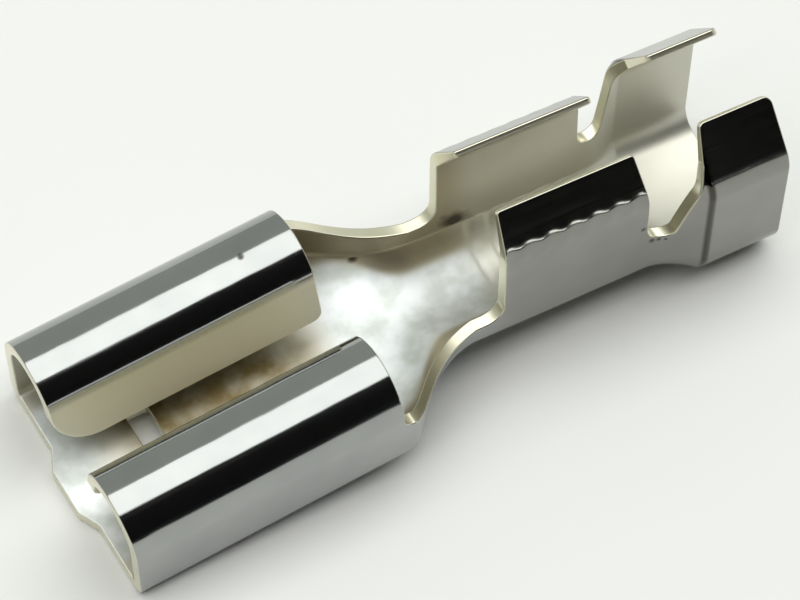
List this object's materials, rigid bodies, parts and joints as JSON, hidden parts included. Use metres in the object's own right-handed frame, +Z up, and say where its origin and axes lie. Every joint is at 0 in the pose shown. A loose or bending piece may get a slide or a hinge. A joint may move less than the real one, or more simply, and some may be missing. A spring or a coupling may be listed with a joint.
{
  "type": "female spade terminal",
  "caption": "Bare push-on female spade terminal: curled tab receptacle, drawn neck, open wire barrel and open insulation barrel in one folded strip.",
  "frame": {"origin": "under the middle of the part's box, on the surface that it rests on", "axes": "+X along the terminal from the tab mouth to the wire end, +Y across it, +Z up, away from the resting surface"},
  "size_m": [0.022, 0.0076, 0.0068],
  "materials": {
    "tinned_brass": "bright tin plate over brass, mirror smooth on the rolled faces, with warm brass showing at the cut edges"
  },
  "bodies": {
    "root": {"terminal": "tinned_brass"}
  },
  "joints": []
}
